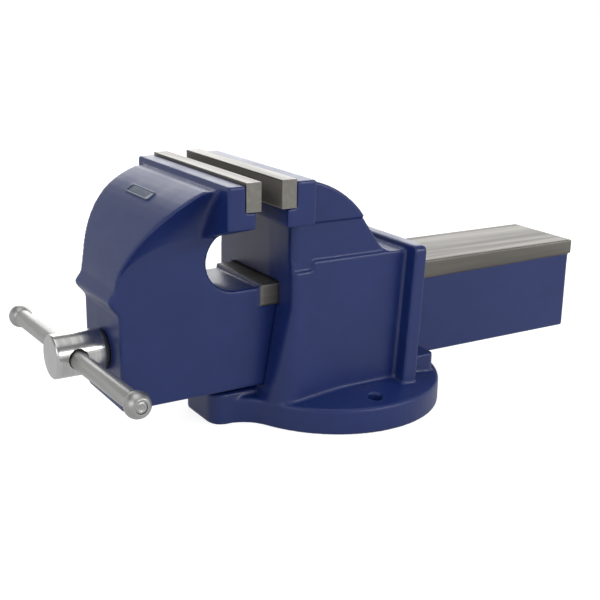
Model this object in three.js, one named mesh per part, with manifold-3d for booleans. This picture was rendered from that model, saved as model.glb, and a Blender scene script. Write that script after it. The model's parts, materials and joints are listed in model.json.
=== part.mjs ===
// A plain-screw bench vice with 150 mm jaws, in millimetres, +Z up.
// The origin is the centre of the oval base on the bench, +Y runs along the slide from the handle
// to the tail, and X runs along the jaws.
import * as THREE from "three";
import { mergeVertices } from "three/addons/utils/BufferGeometryUtils.js";
import Module from "manifold-3d";

const wasm = await Module();
wasm.setup();

// Fits and facets
const seat = 0.3; // gap between two pieces that touch
const overcut = 1; // how far a cutter runs past the face that it opens
const slideFit = 0.35; // running gap round the slide
const chordError = 0.06; // furthest that a chord leaves its arc

// Slide of the moving jaw
const slideBottom = 29.5;
const slideHeight = 79.5;
const slideTop = slideBottom + slideHeight;
const slideHalfWidth = 33.4;
const railHalfWidth = 36.3; // machined rails along the top
const railDepthFront = 16.6;
const railDepthTail = 12.5;
const tailReach = 335.1; // from the moving grip face to the slide's tail
const channelHalfWidth = 22;
const channelRoof = 18; // iron left over the channel
const channelCorner = 9;

// Oval base with a front lug
const baseHalfLength = 90;
const baseHalfWidth = 96;
const baseRim = 20.5; // thickness at the edge
const baseCrown = slideBottom - 4.5; // thickness in the middle and of the lug
const crownRadius = 60; // where the top starts to fall to the rim
const baseEdge = 2.5; // rounding of the rim's upper edge
const lugLength = 25.7; // from the oval's edge to the lug's front
const lugHalfWidth = 27;
const lugCorner = 11;
const coreRim = 21; // width of the flange's foot round the two hollows under it
const coreDepth = 13;
const webHalfWidth = 24; // of the web between the hollows
const boltHoleRadius = 5.5;
const boltInset = 17; // from the oval's sides to the side bolt holes
const boltSetback = 6; // side bolt holes stand this far in front of the base's centre
const lugBoltInset = 17; // from the lug's front to its bolt hole
const counterboreRadius = 12;
const counterboreDepth = 8;

// Jaws
const jawRise = 84; // from the slide's top to the top of the jaw plates
const jawTop = slideTop + jawRise;
const jawHalfWidth = 75;
const plateHeight = 20.2;
const plateThickness = 11.7;
const plateProud = 2; // plates stand this far over the castings
const jawOpening = 16;
const fixedGrip = -87; // the fixed plate's grip face
const plateScrewSpacing = 75;
const plateScrewRise = 6.4; // from a plate's underside to its screws
const plateScrewRadius = 2.5;
const plateScrewHeadRadius = 4.8;
const plateScrewRim = 1; // straight edge of a countersunk head
const plateScrewLength = 22;
const plateScrewSlot = { width: 1.3, depth: 1 };
const plateScrewRecess = 0.8; // the heads sit this far below the grip face

// Fixed jaw, with distances behind its grip face
const fixedLedge = 5; // ledge that the plate stands on
const fixedBlockBack = 28;
const fixedBlockDrop = 34; // from the plates' top down to the block's underside
const throatFace = 20; // front of the neck
const neckHalfWidth = 56;
const neckCorner = 5;
const hoodHalfWidth = 60;
const hoodDrop = 36.5; // from the plates' top down to the hood's underside
const crownDrop = 4.1; // from the plates' top down to the crown of the fixed hood
const fixedBack = { centre: 18, height: slideTop + 3.1 };
const backFillet = 18;

// Box of the fixed body, round the slide
const boxHalfWidth = 58.5;
const boxTop = slideTop + 18.5;
const boxCorner = 5;
const footCorner = 19; // the front corners open out towards the base
const footReach = 12.5; // how far the foot runs forward of the neck
const flareDrop = 35; // from the box's top down to where its front starts to lean out
const notchDepth = 7;
const notchLength = 12;
const collarHalfWidth = 71;
const collarTop = boxTop + 4.5;
const collarThickness = 10.8;
const collarBack = 44; // rear face at the collar's top
const collarLean = 5; // how far the collar's foot stands forward of its top
const collarSpread = 2; // how much thicker its foot is than its top
const collarCorner = 5;
const heelHalfWidth = 54;
const heelEnd = 70;
const heelCorner = 5;
const heelHeight = 12;

// Moving jaw, with distances in front of its grip face
const movingLedge = 3.8;
const movingBlockBack = 25.2;
const movingBlockDrop = 32;
const stripStep = 4.5; // the block stands this far over the hood behind it
const hoodArc = { centre: 7.4, height: slideTop - 1.3 };
const frontWall = 24;
const hoodOverhang = 3.2; // how far the hood's arc reaches past the slide's front
const lip = { reach: 8.1, start: 8.5, tip: 2.3, noseRadius: 2.5 }; // round the slide's top
const lipUnderside = { inset: 2, drop: 2, radius: 2, foot: 9, hollow: 5 };
const hoodHalfWidthTop = 61.8;
const hoodHalfWidthFront = 38;
const hoodTaper = { length: 39, past: 1.5 }; // ends this far past the slide's front
const flarePull = { across: 0.32, up: 0.58 }; // how hollow the hood's flared sides are
const creaseRun = { start: 26, past: 2.5 }; // where the flared sides meet the slide's sides
const creaseDrop = 31; // how far the crease falls towards the front
const creaseUnderThroat = 3.4; // it starts this far under the top of the throat
const coveRadius = 4;
const throatRadius = 22.9;
const throatOffset = 2; // the throat's centre stands this far behind the grip face
const throatSink = 2.9; // the throat's floor lies this far under the slide's top
const railStart = 21.8; // behind the moving grip face

// Screw, its nut and what keeps it in the jaw
const screwRise = 37.5; // from the slide's underside to the screw's axis
const screwHeight = slideBottom + screwRise;
const screwRadius = 12;
const shankRadius = 12.5;
const shankFit = 0.8;
const headRadius = 16;
const headLength = 36;
const headChamfer = 1.2;
const thrustWasher = { radius: 14.8, thickness: 2.5 };
const screwEnd = 232; // behind the moving grip face
const screwChamfer = 2;
const shankPastCollar = 2;
const springWasher = { radius: 19, thickness: 2.5 };
const springLength = 14;
const springRadius = 15.6;
const springWire = 1.7;
const springTurns = 3.5;
const collarRadius = 19;
const collarLength = 11;
const pinRadius = 2.5;
const pinInset = 1; // the pin's ends lie this far under the collar's surface
const nutFront = -60;
const nutLength = 54;
const nutHalfWidth = 20.5;
const nutBarrelRadius = 19.5;
const nutFootHeight = 13;
const nutBoltRadius = 5;
const nutBoltInset = 11;
const nutBoltGrip = 9; // thread inside the nut
const nutBoltSpare = 1; // depth left beyond the bolt's end
const nutBoltHeadRadius = 9;
const nutBoltHeadHeight = 6.4;
const nutBoltPocket = { radius: 11.5, depth: 13 }; // for a bolt's head
const nutWasher = { radius: 10, thickness: 2 };

// Handle bar
const barRadius = 6.5;
const barFit = 0.9;
const barSag = 0.7; // the bar lies this far down in its loose hole
const barTilt = 1.9; // degrees from level, as the screw was left
const headGrip = 15.5; // from the head's front to the bar
const knobRadius = 9;
const knobSpacing = 235;
const knobFlat = 7; // from the knob's centre to its flat ends
const spigotRadius = 4;

const paint = { color: 0x37477d, roughness: 0.38, metalness: 0 };
const groundSteel = { color: 0xa9a69c, roughness: 0.42, metalness: 0.9 };
const turnedSteel = { color: 0xb4b4b2, roughness: 0.22, metalness: 1 };
const darkSteel = { color: 0x5b5a58, roughness: 0.5, metalness: 0.85 };
const castIron = { color: 0x6a6a68, roughness: 0.62, metalness: 0.55 };
const springSteel = { color: 0x77787a, roughness: 0.35, metalness: 0.9 };

const axisX = new THREE.Vector3(1, 0, 0);
const axisY = new THREE.Vector3(0, 1, 0);
const axisZ = new THREE.Vector3(0, 0, 1);

// ---- outlines --------------------------------------------------------------------------------

// Points on an arc, with angles in degrees. Without a count of steps, the chord error sets it.
function arc(x, y, radius, from, to, steps) {
  const sweep = THREE.MathUtils.degToRad(to - from);
  const finest = 2 * Math.acos(1 - chordError / radius);
  const count = steps ?? Math.max(2, Math.ceil(Math.abs(sweep) / finest));
  return Array.from({ length: count + 1 }, (_, i) => {
    const angle = THREE.MathUtils.degToRad(from) + (sweep * i) / count;
    return [x + radius * Math.cos(angle), y + radius * Math.sin(angle)];
  });
}

// A closed outline through corners given as [x, y, radius]; without a radius a corner stays sharp.
function rounded(corners, steps) {
  return corners.flatMap(([x, y, radius = 0], i) => {
    if (radius === 0) return [[x, y]];
    const here = new THREE.Vector2(x, y);
    const back = new THREE.Vector2(...corners.at(i - 1)).sub(here).normalize();
    const ahead = new THREE.Vector2(...corners[(i + 1) % corners.length]).sub(here).normalize();
    const half = Math.acos(THREE.MathUtils.clamp(back.dot(ahead), -1, 1)) / 2;
    const bisector = back.clone().add(ahead).normalize();
    const centre = here.clone().addScaledVector(bisector, radius / Math.sin(half));
    const start = here.clone().addScaledVector(back, radius / Math.tan(half)).sub(centre);
    const end = here.clone().addScaledVector(ahead, radius / Math.tan(half)).sub(centre);
    const from = THREE.MathUtils.radToDeg(start.angle());
    let turn = THREE.MathUtils.radToDeg(end.angle()) - from;
    turn -= 360 * Math.round(turn / 360);
    return arc(centre.x, centre.y, radius, from, from + turn, steps);
  });
}

// The right half of an outline joined to its mirror image.
function mirrored(points) {
  return [...points, ...points.map(([x, y]) => [-x, y]).reverse()];
}

function shapeOf(points) {
  return new THREE.Shape(points.map(([x, y]) => new THREE.Vector2(x, y)));
}

// ---- solids ----------------------------------------------------------------------------------

// A closed geometry as a solid, without the slivers that a lathe leaves on its axis.
function solid(geometry) {
  const bare = geometry.clone();
  bare.deleteAttribute("normal");
  bare.deleteAttribute("uv");
  const merged = mergeVertices(bare, 1e-4);
  const index = Array.from(merged.index.array);
  const triangles = [];
  for (let i = 0; i < index.length; i += 3) {
    const [a, b, c] = index.slice(i, i + 3);
    if (a !== b && b !== c && c !== a) triangles.push(a, b, c);
  }
  return new wasm.Manifold(
    new wasm.Mesh({
      numProp: 3,
      vertProperties: merged.attributes.position.array,
      triVerts: new Uint32Array(triangles),
    }),
  );
}

function join(first, ...others) {
  return others.reduce((sum, other) => sum.add(other), first);
}

function cut(first, ...others) {
  return others.reduce((rest, other) => rest.subtract(other), first);
}

function extruded(points, depth, edge = 0) {
  return new THREE.ExtrudeGeometry(shapeOf(points), {
    depth: depth - 2 * edge,
    bevelEnabled: edge > 0,
    bevelThickness: edge,
    bevelSize: edge,
    bevelOffset: -edge,
    bevelSegments: 4,
  }).translate(0, 0, edge);
}

// Prisms of an outline: [y, z] points along X, [x, z] points along Y and [x, y] points along Z.
function alongX(points, x0, x1) {
  const turn = new THREE.Matrix4().makeBasis(axisY, axisZ, axisX);
  return solid(extruded(points, x1 - x0).applyMatrix4(turn).translate(x0, 0, 0));
}

function alongY(points, y0, y1) {
  const turn = new THREE.Matrix4().makeBasis(axisX, axisZ, axisY.clone().negate());
  return solid(extruded(points, y1 - y0).applyMatrix4(turn).translate(0, y1, 0));
}

function alongZ(points, z0, z1, edge = 0) {
  return solid(extruded(points, z1 - z0, edge).translate(0, 0, z0));
}

function box([x0, x1], [y0, y1], [z0, z1]) {
  const size = new THREE.BoxGeometry(x1 - x0, y1 - y0, z1 - z0);
  return solid(size.translate((x0 + x1) / 2, (y0 + y1) / 2, (z0 + z1) / 2));
}

// A turned solid: [radius, distance] points round an axis that runs along +Y at a height.
function turned(profile, height = 0) {
  const largest = Math.max(...profile.map(([radius]) => radius));
  const segments = Math.ceil(Math.PI / Math.acos(1 - chordError / largest));
  const points = profile.map(([radius, y]) => new THREE.Vector2(radius, y));
  return solid(new THREE.LatheGeometry(points, segments).translate(0, 0, height));
}

function rod(radius, y0, y1, height = 0) {
  return turned([[0, y0], [radius, y0], [radius, y1], [0, y1]], height);
}

function ring(inner, outer, y0, y1, height = 0) {
  const profile = [[inner, y0], [outer, y0], [outer, y1], [inner, y1], [inner, y0]];
  return turned(profile, height);
}

// The same shapes, turned to stand along Z at a point, or to lie along X.
function upright(made, x, y) {
  return made.rotate([90, 0, 0]).translate([x, y, 0]);
}

function sideways(made) {
  return made.rotate([0, 0, -90]);
}

// A loft through sections of equally many points, each { at, outline }.
function loft(sections, place) {
  const count = sections[0].outline.length;
  const positions = sections.flatMap(({ at, outline }) => outline.flatMap((point) => place(at, point)));
  const triangles = [];
  for (let s = 0; s + 1 < sections.length; s++) {
    for (let i = 0; i < count; i++) {
      const next = (i + 1) % count;
      const [a, b, c, d] = [s * count + i, s * count + next, (s + 1) * count + next, (s + 1) * count + i];
      triangles.push(a, b, c, a, c, d);
    }
  }
  const flat = (section) => section.outline.map(([u, v]) => new THREE.Vector2(u, v));
  const last = (sections.length - 1) * count;
  for (const face of THREE.ShapeUtils.triangulateShape(flat(sections[0]), [])) {
    triangles.push(face[0], face[2], face[1]);
  }
  for (const face of THREE.ShapeUtils.triangulateShape(flat(sections.at(-1)), [])) {
    triangles.push(...face.map((corner) => last + corner));
  }
  const geometry = new THREE.BufferGeometry();
  geometry.setAttribute("position", new THREE.Float32BufferAttribute(positions, 3));
  geometry.setIndex(triangles);
  return solid(geometry);
}

function meshOf(name, made, finish) {
  const { numProp, vertProperties, triVerts } = made.getMesh();
  const geometry = new THREE.BufferGeometry();
  geometry.setAttribute("position", new THREE.Float32BufferAttribute(vertProperties, numProp));
  geometry.setIndex(Array.from(triVerts));
  geometry.computeVertexNormals();
  const mesh = new THREE.Mesh(geometry, new THREE.MeshStandardMaterial(finish));
  mesh.name = name;
  return mesh;
}

// ---- fixed body ------------------------------------------------------------------------------

// The base is drawn round, as long as the oval, and then stretched to the oval's width.
const baseStretch = baseHalfWidth / baseHalfLength;
const lugSide = lugHalfWidth / baseStretch;
const lugCornerY = baseHalfLength + lugLength - lugCorner;

function stretched(points) {
  return points.map(([x, y]) => [x * baseStretch, y]);
}

function lugFront() {
  const x = lugSide - lugCorner;
  return [
    ...arc(-x, -lugCornerY, lugCorner, 180, 270),
    ...arc(x, -lugCornerY, lugCorner, 270, 360),
  ];
}

// The oval with its front lug. Each hollow fillet runs from the end of the lug's corner to the oval's
// edge and touches both.
function baseOutline() {
  const radius = baseHalfLength;
  const fillet = (lugSide ** 2 + lugCornerY ** 2 - radius ** 2) / (2 * (radius - lugSide));
  const x = lugSide + fillet;
  const meet = THREE.MathUtils.radToDeg(Math.atan2(-lugCornerY, x));
  return stretched([
    ...arc(0, 0, radius, meet, 180 - meet),
    ...arc(-x, -lugCornerY, fillet, -meet, 0).slice(1, -1),
    ...lugFront(),
    ...arc(x, -lugCornerY, fillet, 180, 180 + meet).slice(1, -1),
  ]);
}

function baseFlange() {
  const reach = 2 * baseHalfWidth;
  const topRadius = baseHalfLength - baseEdge;
  const crown = turned([
    [0, -baseCrown],
    [crownRadius, -baseCrown],
    [topRadius, -baseRim],
    [topRadius, 0],
    [0, 0],
  ]);
  const lugTop = stretched([...lugFront(), [lugSide, -crownRadius / 2], [-lugSide, -crownRadius / 2]]);
  const flange = join(
    alongZ(baseOutline(), -2 * baseEdge, baseRim, baseEdge),
    alongZ(lugTop, -2 * baseEdge, baseCrown, baseEdge),
    crown.rotate([-90, 0, 0]).scale([baseStretch, 1, 1]),
  );
  return cut(flange, box([-reach, reach], [-reach, reach], [-reach, 0]));
}

// The box round the slide: its front leans out and its front corners open towards the base.
function bodyBox() {
  const front = fixedGrip + throatFace;
  const back = collarBack - collarThickness / 2;
  const plan = (reach, corner) =>
    rounded(
      [
        [-boxHalfWidth, front - reach, corner],
        [boxHalfWidth, front - reach, corner],
        [boxHalfWidth, back],
        [-boxHalfWidth, back],
      ],
      8,
    );
  const foot = baseRim - baseEdge / 2;
  const sections = [
    { at: foot, outline: plan(footReach, footCorner) },
    { at: boxTop - flareDrop, outline: plan(0, boxCorner) },
    { at: boxTop, outline: plan(0, boxCorner) },
  ];
  return loft(sections, (z, [x, y]) => [x, y, z]);
}

// A step in the upper front corner of each side panel.
function panelNotches() {
  const front = fixedGrip + throatFace;
  return [-1, 1].map((side) => {
    const inner = side * neckHalfWidth;
    const outer = side * (boxHalfWidth + overcut);
    const across = [Math.min(inner, outer), Math.max(inner, outer)];
    const up = [boxTop - notchDepth, boxTop + overcut];
    return box(across, [front - overcut, front + boxCorner + notchLength], up);
  });
}

// Side outline of the fixed jaw: a straight front, and a round back that runs on as a straight slope
// from the hood's underside down to a hollow fillet on the box.
function fixedJawSide() {
  const front = fixedGrip + throatFace;
  const centre = fixedGrip + fixedBack.centre;
  const radius = jawTop - crownDrop - fixedBack.height;
  const slopeTop = jawTop - hoodDrop - fixedBack.height;
  const slopeAngle = THREE.MathUtils.radToDeg(Math.asin(slopeTop / radius));
  const crownY = fixedGrip + fixedBlockBack - overcut;
  const crownAngle = THREE.MathUtils.radToDeg(Math.acos((crownY - centre) / radius));
  const back = arc(centre, fixedBack.height, radius, slopeAngle, crownAngle);
  const [slopeY, slopeZ] = back[0];
  const slopeFoot = slopeY + (slopeZ - boxTop) * (slopeTop / (slopeY - centre));
  const root = boxTop - notchDepth / 2;
  return [
    ...rounded([
      [front, root],
      [collarBack - collarThickness, root],
      [collarBack - collarThickness, boxTop],
      [slopeFoot, boxTop, backFillet],
      [slopeY, slopeZ],
    ]),
    ...back.slice(1),
    [front, back.at(-1)[1]],
  ];
}

function neckAndHood() {
  const side = fixedJawSide();
  const front = fixedGrip + throatFace;
  const back = collarBack;
  const hoodUnderside = jawTop - hoodDrop;
  const plan = rounded([
    [-neckHalfWidth, back],
    [neckHalfWidth, back],
    [neckHalfWidth, front, neckCorner],
    [-neckHalfWidth, front, neckCorner],
  ]);
  const neck = alongX(side, -neckHalfWidth, neckHalfWidth).intersect(alongZ(plan, 0, jawTop));
  const above = box([-jawHalfWidth, jawHalfWidth], [front, back], [hoodUnderside, jawTop]);
  return join(neck, alongX(side, -hoodHalfWidth, hoodHalfWidth).intersect(above));
}

// The block behind a jaw plate: [distance behind the grip face, height] points with the plate's seat.
function blockSide(ledge, back, drop) {
  const plateSeat = plateThickness + seat;
  const underPlate = jawTop - plateHeight - seat;
  const top = jawTop - plateProud;
  return [
    [ledge, jawTop - drop],
    [ledge, underPlate],
    [plateSeat, underPlate],
    [plateSeat, top],
    [back, top],
    [back, jawTop - drop],
  ];
}

function fixedBlock() {
  const side = blockSide(fixedLedge, fixedBlockBack, fixedBlockDrop);
  return alongX(side.map(([y, z]) => [fixedGrip + y, z]), -jawHalfWidth, jawHalfWidth);
}

function rearCollar() {
  const foot = baseRim - baseEdge / 2;
  const side = [
    [collarBack - collarThickness - collarLean - collarSpread, foot],
    [collarBack - collarLean, foot],
    [collarBack, collarTop],
    [collarBack - collarThickness, collarTop],
  ];
  const front = rounded([
    [-collarHalfWidth, 0],
    [collarHalfWidth, 0],
    [collarHalfWidth, collarTop, collarCorner],
    [-collarHalfWidth, collarTop, collarCorner],
  ]);
  const plate = alongX(side, -collarHalfWidth, collarHalfWidth);
  return plate.intersect(alongY(front, -collarTop, collarTop));
}

function heel() {
  const plan = rounded([
    [-heelHalfWidth, collarBack - collarThickness],
    [heelHalfWidth, collarBack - collarThickness],
    [heelHalfWidth, heelEnd, heelCorner],
    [-heelHalfWidth, heelEnd, heelCorner],
  ]);
  return alongZ(plan, baseRim - baseEdge / 2, baseCrown + heelHeight);
}

// The way that the slide runs in, clear of it all round.
function slideTunnel() {
  const railUnderside = slideTop - railDepthFront - slideFit;
  const section = mirrored([
    [slideHalfWidth + slideFit, slideBottom - slideFit],
    [slideHalfWidth + slideFit, railUnderside],
    [railHalfWidth + slideFit, railUnderside],
    [railHalfWidth + slideFit, slideTop + slideFit],
  ]);
  return alongY(section, fixedGrip - footReach, heelEnd + overcut);
}

const nutBoltRows = [nutFront + nutBoltInset, nutFront + nutLength - nutBoltInset];

function fixedBody() {
  const casting = join(baseFlange(), bodyBox(), neckAndHood(), fixedBlock(), rearCollar(), heel());
  const core = upright(rod(baseHalfLength - coreRim, -overcut, coreDepth), 0, 0);
  const web = box([-webHalfWidth, webHalfWidth], [-baseHalfLength, baseHalfLength], [-overcut, coreDepth]);
  const boltHole = (radius, x, y) => upright(rod(radius, -overcut, slideBottom), x, y);
  const lugBoltY = lugBoltInset - baseHalfLength - lugLength;
  const sideBoltX = baseHalfWidth - boltInset;
  const counterbore = upright(
    rod(counterboreRadius, baseCrown - counterboreDepth, baseCrown + overcut),
    0,
    lugBoltY,
  );
  return cut(
    casting,
    ...panelNotches(),
    slideTunnel(),
    cut(core, web),
    boltHole(boltHoleRadius, sideBoltX, -boltSetback),
    boltHole(boltHoleRadius, -sideBoltX, -boltSetback),
    boltHole(boltHoleRadius, 0, lugBoltY),
    counterbore,
    ...nutBoltRows.map((y) => boltHole(nutBoltRadius + seat, 0, y)),
    ...nutBoltRows.map((y) => upright(rod(nutBoltPocket.radius, -overcut, nutBoltPocket.depth), 0, y)),
    ...plateScrewHoles(fixedGrip, 1),
  );
}

// ---- jaw plates and their screws -------------------------------------------------------------

const plateScrewHeight = jawTop - plateHeight + plateScrewRise;
const plateScrewPlaces = [-plateScrewSpacing / 2, plateScrewSpacing / 2];
const countersink = plateScrewHeadRadius - plateScrewRadius;

// Profile of a countersunk screw that points along `way` from a grip face, grown by a clearance.
function plateScrewProfile(grip, way, grow) {
  const y = (distance) => grip + way * distance;
  const face = grow > 0 ? -overcut : plateScrewRecess;
  const rim = plateScrewRecess + plateScrewRim;
  const points = [
    [0, y(face)],
    [plateScrewHeadRadius + grow, y(face)],
    [plateScrewHeadRadius + grow, y(rim)],
    [plateScrewRadius + grow, y(rim + countersink)],
    [plateScrewRadius + grow, y(plateScrewLength + grow)],
    [0, y(plateScrewLength + grow)],
  ];
  return way > 0 ? points : points.reverse();
}

function plateScrewHoles(grip, way) {
  return plateScrewPlaces.map((x) =>
    turned(plateScrewProfile(grip, way, seat), plateScrewHeight).translate([x, 0, 0]),
  );
}

function plateScrew(x, grip, way) {
  const body = turned(plateScrewProfile(grip, way, 0), plateScrewHeight).translate([x, 0, 0]);
  const floor = grip + way * (plateScrewRecess + plateScrewSlot.depth);
  const slot = box(
    [x - plateScrewHeadRadius - overcut, x + plateScrewHeadRadius + overcut],
    [Math.min(floor, grip), Math.max(floor, grip)],
    [plateScrewHeight - plateScrewSlot.width / 2, plateScrewHeight + plateScrewSlot.width / 2],
  );
  return cut(body, slot);
}

function jawPlate(grip, way) {
  const back = grip + way * plateThickness;
  const blank = box(
    [-jawHalfWidth, jawHalfWidth],
    [Math.min(grip, back), Math.max(grip, back)],
    [jawTop - plateHeight, jawTop],
  );
  return cut(blank, ...plateScrewHoles(grip, way));
}

// ---- moving jaw, in a frame whose Y starts at its own grip face ------------------------------

const movingStrip = jawTop - plateProud;
const hoodRadius = movingStrip - hoodArc.height;
const frontFace = hoodArc.centre + hoodRadius - hoodOverhang; // front of the slide, under the lip
const throatHeight = slideTop - throatSink + throatRadius;
const creaseHeight = throatHeight + throatRadius - creaseUnderThroat;

// The hood's back, from the step behind the block round to the lip, as [y, z] points.
function hoodBack() {
  const ends = [movingStrip - stripStep, slideTop + lip.start].map((z) => {
    return 180 - THREE.MathUtils.radToDeg(Math.asin((z - hoodArc.height) / hoodRadius));
  });
  return arc(-hoodArc.centre, hoodArc.height, hoodRadius, ...ends);
}

// Side outline of the whole moving casting, from the slide's tail round the throat to the lip.
function movingSide() {
  const drop = (throatOffset + movingLedge) / throatRadius;
  const throatTop = THREE.MathUtils.radToDeg(Math.acos(-drop));
  const seatY = -(plateThickness + seat);
  const underPlate = jawTop - plateHeight - seat;
  return [
    [-frontFace, slideBottom],
    [tailReach, slideBottom],
    [tailReach, slideTop],
    [railStart, slideTop],
    [railStart, slideTop - throatSink],
    ...arc(throatOffset, throatHeight, throatRadius, 270, throatTop),
    [-movingLedge, underPlate],
    [seatY, underPlate],
    [seatY, movingStrip],
    [-movingBlockBack, movingStrip],
    [-movingBlockBack, movingStrip - stripStep],
    ...hoodBack(),
    ...lipOutline(),
  ];
}

// The rounded lip that stands out along the hood's lower edge, and the slope under it.
function lipOutline() {
  const corners = [
    [-frontFace, slideTop + lip.start],
    [-frontFace - lip.reach, slideTop + lip.tip, lip.noseRadius],
    [
      -frontFace - lip.reach + lipUnderside.inset,
      slideTop - lipUnderside.drop,
      lipUnderside.radius,
    ],
    [-frontFace, slideTop - lipUnderside.foot, lipUnderside.hollow],
    [-frontFace, slideBottom],
  ];
  return rounded(corners).slice(1, -1);
}

// How far a distance in front of the grip face has come along a stretch, from 0 to 1.
function along(y, start, end) {
  return THREE.MathUtils.clamp((y - start) / (end - start), 0, 1);
}

function hoodHalfWidthAt(y) {
  const end = frontFace + hoodTaper.past;
  const share = along(y, end - hoodTaper.length, end);
  return hoodHalfWidthTop - (hoodHalfWidthTop - hoodHalfWidthFront) * share ** 2;
}

// Height of the crease between the hood's flared side and the slide's flat side.
function creaseAt(y) {
  const share = along(y, creaseRun.start, frontFace + creaseRun.past);
  return creaseHeight - creaseDrop * (1 - Math.sqrt(1 - share ** 2));
}

// The hollow flare from the slide's side out to the hood's edge, as [x, z] points.
function hoodFlare(y, edge) {
  const low = new THREE.Vector2(slideHalfWidth, creaseAt(y));
  const high = new THREE.Vector2(hoodHalfWidthAt(y), edge);
  const pull = new THREE.Vector2(
    THREE.MathUtils.lerp(low.x, high.x, flarePull.across),
    THREE.MathUtils.lerp(low.y, high.y, flarePull.up),
  );
  const curve = new THREE.QuadraticBezierCurve(low, pull, high);
  return curve.getPoints(8).map((point) => [point.x, point.y]);
}

// Cross-section of the hood's envelope: the slide's straight sides, the flare and walls over it.
function hoodSection(y, edge) {
  const flare = hoodFlare(y, edge);
  const [halfWidth] = flare.at(-1);
  return mirrored([[slideHalfWidth, slideBottom], ...flare, [halfWidth, jawTop]]);
}

// The envelope's sections stand at the ends of the back's chords, so that both bend in the same lines.
function hoodEnvelope() {
  const back = hoodBack();
  const edges = [
    [-movingLedge, back[0][1]],
    [-creaseRun.start, back[0][1]],
    ...back,
    [-frontFace - lip.reach - overcut, back.at(-1)[1]],
  ];
  const sections = edges.map(([y, edge]) => ({ at: y, outline: hoodSection(-y, edge) }));
  return loft(sections, (y, [x, z]) => [x, y, z]);
}

function blockEnvelope() {
  const section = mirrored([
    [slideHalfWidth, creaseHeight],
    [jawHalfWidth, jawTop - movingBlockDrop],
    [jawHalfWidth, jawTop],
  ]);
  return alongY(section, -movingBlockBack, 0);
}

// Hollow corners where the wide block stands out from the hood's flared sides.
function coves() {
  const flare = hoodFlare(movingBlockBack, hoodBack()[0][1]).slice(1);
  const corner = -movingBlockBack - coveRadius;
  const sections = [...flare, [hoodHalfWidthTop, jawTop]].map(([x, z]) => ({
    at: z,
    outline: [
      [x - coveRadius, -movingBlockBack],
      [x - coveRadius, corner],
      ...arc(x + coveRadius, corner, coveRadius, 180, 90),
    ],
  }));
  const right = loft(sections, (z, [x, y]) => [x, y, z]);
  return [right, right.mirror([1, 0, 0])];
}

function rails() {
  const side = [
    [railStart, slideTop - railDepthFront],
    [tailReach, slideTop - railDepthTail],
    [tailReach, slideTop],
    [railStart, slideTop],
  ];
  return alongX(side, -railHalfWidth, railHalfWidth);
}

function movingJaw() {
  const beam = box(
    [-slideHalfWidth, slideHalfWidth],
    [-frontFace - lip.reach, tailReach],
    [slideBottom, creaseHeight + overcut],
  );
  const envelope = join(beam, hoodEnvelope(), blockEnvelope(), ...coves());
  const casting = alongX(movingSide(), -jawHalfWidth, jawHalfWidth).intersect(envelope);
  const channel = rounded([
    [-channelHalfWidth, slideBottom - overcut],
    [channelHalfWidth, slideBottom - overcut],
    [channelHalfWidth, slideTop - channelRoof, channelCorner],
    [-channelHalfWidth, slideTop - channelRoof, channelCorner],
  ]);
  return cut(
    join(casting, rails()),
    alongY(channel, frontWall - frontFace, tailReach + overcut),
    rod(shankRadius + shankFit, -frontFace - overcut, frontWall - frontFace + overcut, screwHeight),
    ...plateScrewHoles(0, -1),
  );
}

// ---- screw and handle ------------------------------------------------------------------------

const washerFront = -frontFace - seat - thrustWasher.thickness;
const headBack = washerFront - seat;
const headFront = headBack - headLength;
const barPlace = headFront + headGrip;
const innerWall = frontWall - frontFace;
const springWasherBack = innerWall + seat + springWasher.thickness;
const springStart = springWasherBack + seat;
const collarStart = springStart + springLength + seat;
const pinPlace = collarStart + collarLength / 2;
const shankEnd = collarStart + collarLength + shankPastCollar;

function mainScrew() {
  const body = turned(
    [
      [0, headFront],
      [headRadius - headChamfer, headFront],
      [headRadius, headFront + headChamfer],
      [headRadius, headBack],
      [shankRadius, headBack],
      [shankRadius, shankEnd],
      [screwRadius, shankEnd + screwChamfer],
      [screwRadius, screwEnd - screwChamfer],
      [screwRadius - screwChamfer, screwEnd],
      [0, screwEnd],
    ],
    screwHeight,
  );
  const barHole = sideways(rod(barRadius + barFit, -headRadius - overcut, headRadius + overcut));
  const pinHole = sideways(rod(pinRadius + seat, -headRadius, headRadius));
  return cut(
    body,
    barHole.rotate([0, -barTilt, 0]).translate([0, barPlace, screwHeight]),
    pinHole.translate([0, pinPlace, screwHeight]),
  );
}

function retainingCollar() {
  const blank = ring(shankRadius + seat, collarRadius, collarStart, collarStart + collarLength, screwHeight);
  const pinHole = sideways(rod(pinRadius + seat, -collarRadius - overcut, collarRadius + overcut));
  return cut(blank, pinHole.translate([0, pinPlace, screwHeight]));
}

function collarPin() {
  const reach = collarRadius - pinInset;
  return sideways(rod(pinRadius, -reach, reach)).translate([0, pinPlace, screwHeight]);
}

// A helix round an axis along Y.
class Helix extends THREE.Curve {
  constructor(radius, turns, rise) {
    super();
    Object.assign(this, { radius, turns, rise });
  }
  getPoint(t, target = new THREE.Vector3()) {
    const angle = 2 * Math.PI * this.turns * t;
    return target.set(this.radius * Math.cos(angle), this.rise * t, this.radius * Math.sin(angle));
  }
}

function drawSpring() {
  const path = new Helix(springRadius, springTurns, springLength - 2 * springWire);
  const wire = new THREE.ExtrudeGeometry(shapeOf(arc(0, 0, springWire, 0, 360, 8).slice(0, -1)), {
    steps: Math.round(16 * springTurns),
    extrudePath: path,
  });
  return solid(wire.translate(0, springStart + springWire, screwHeight));
}

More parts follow.
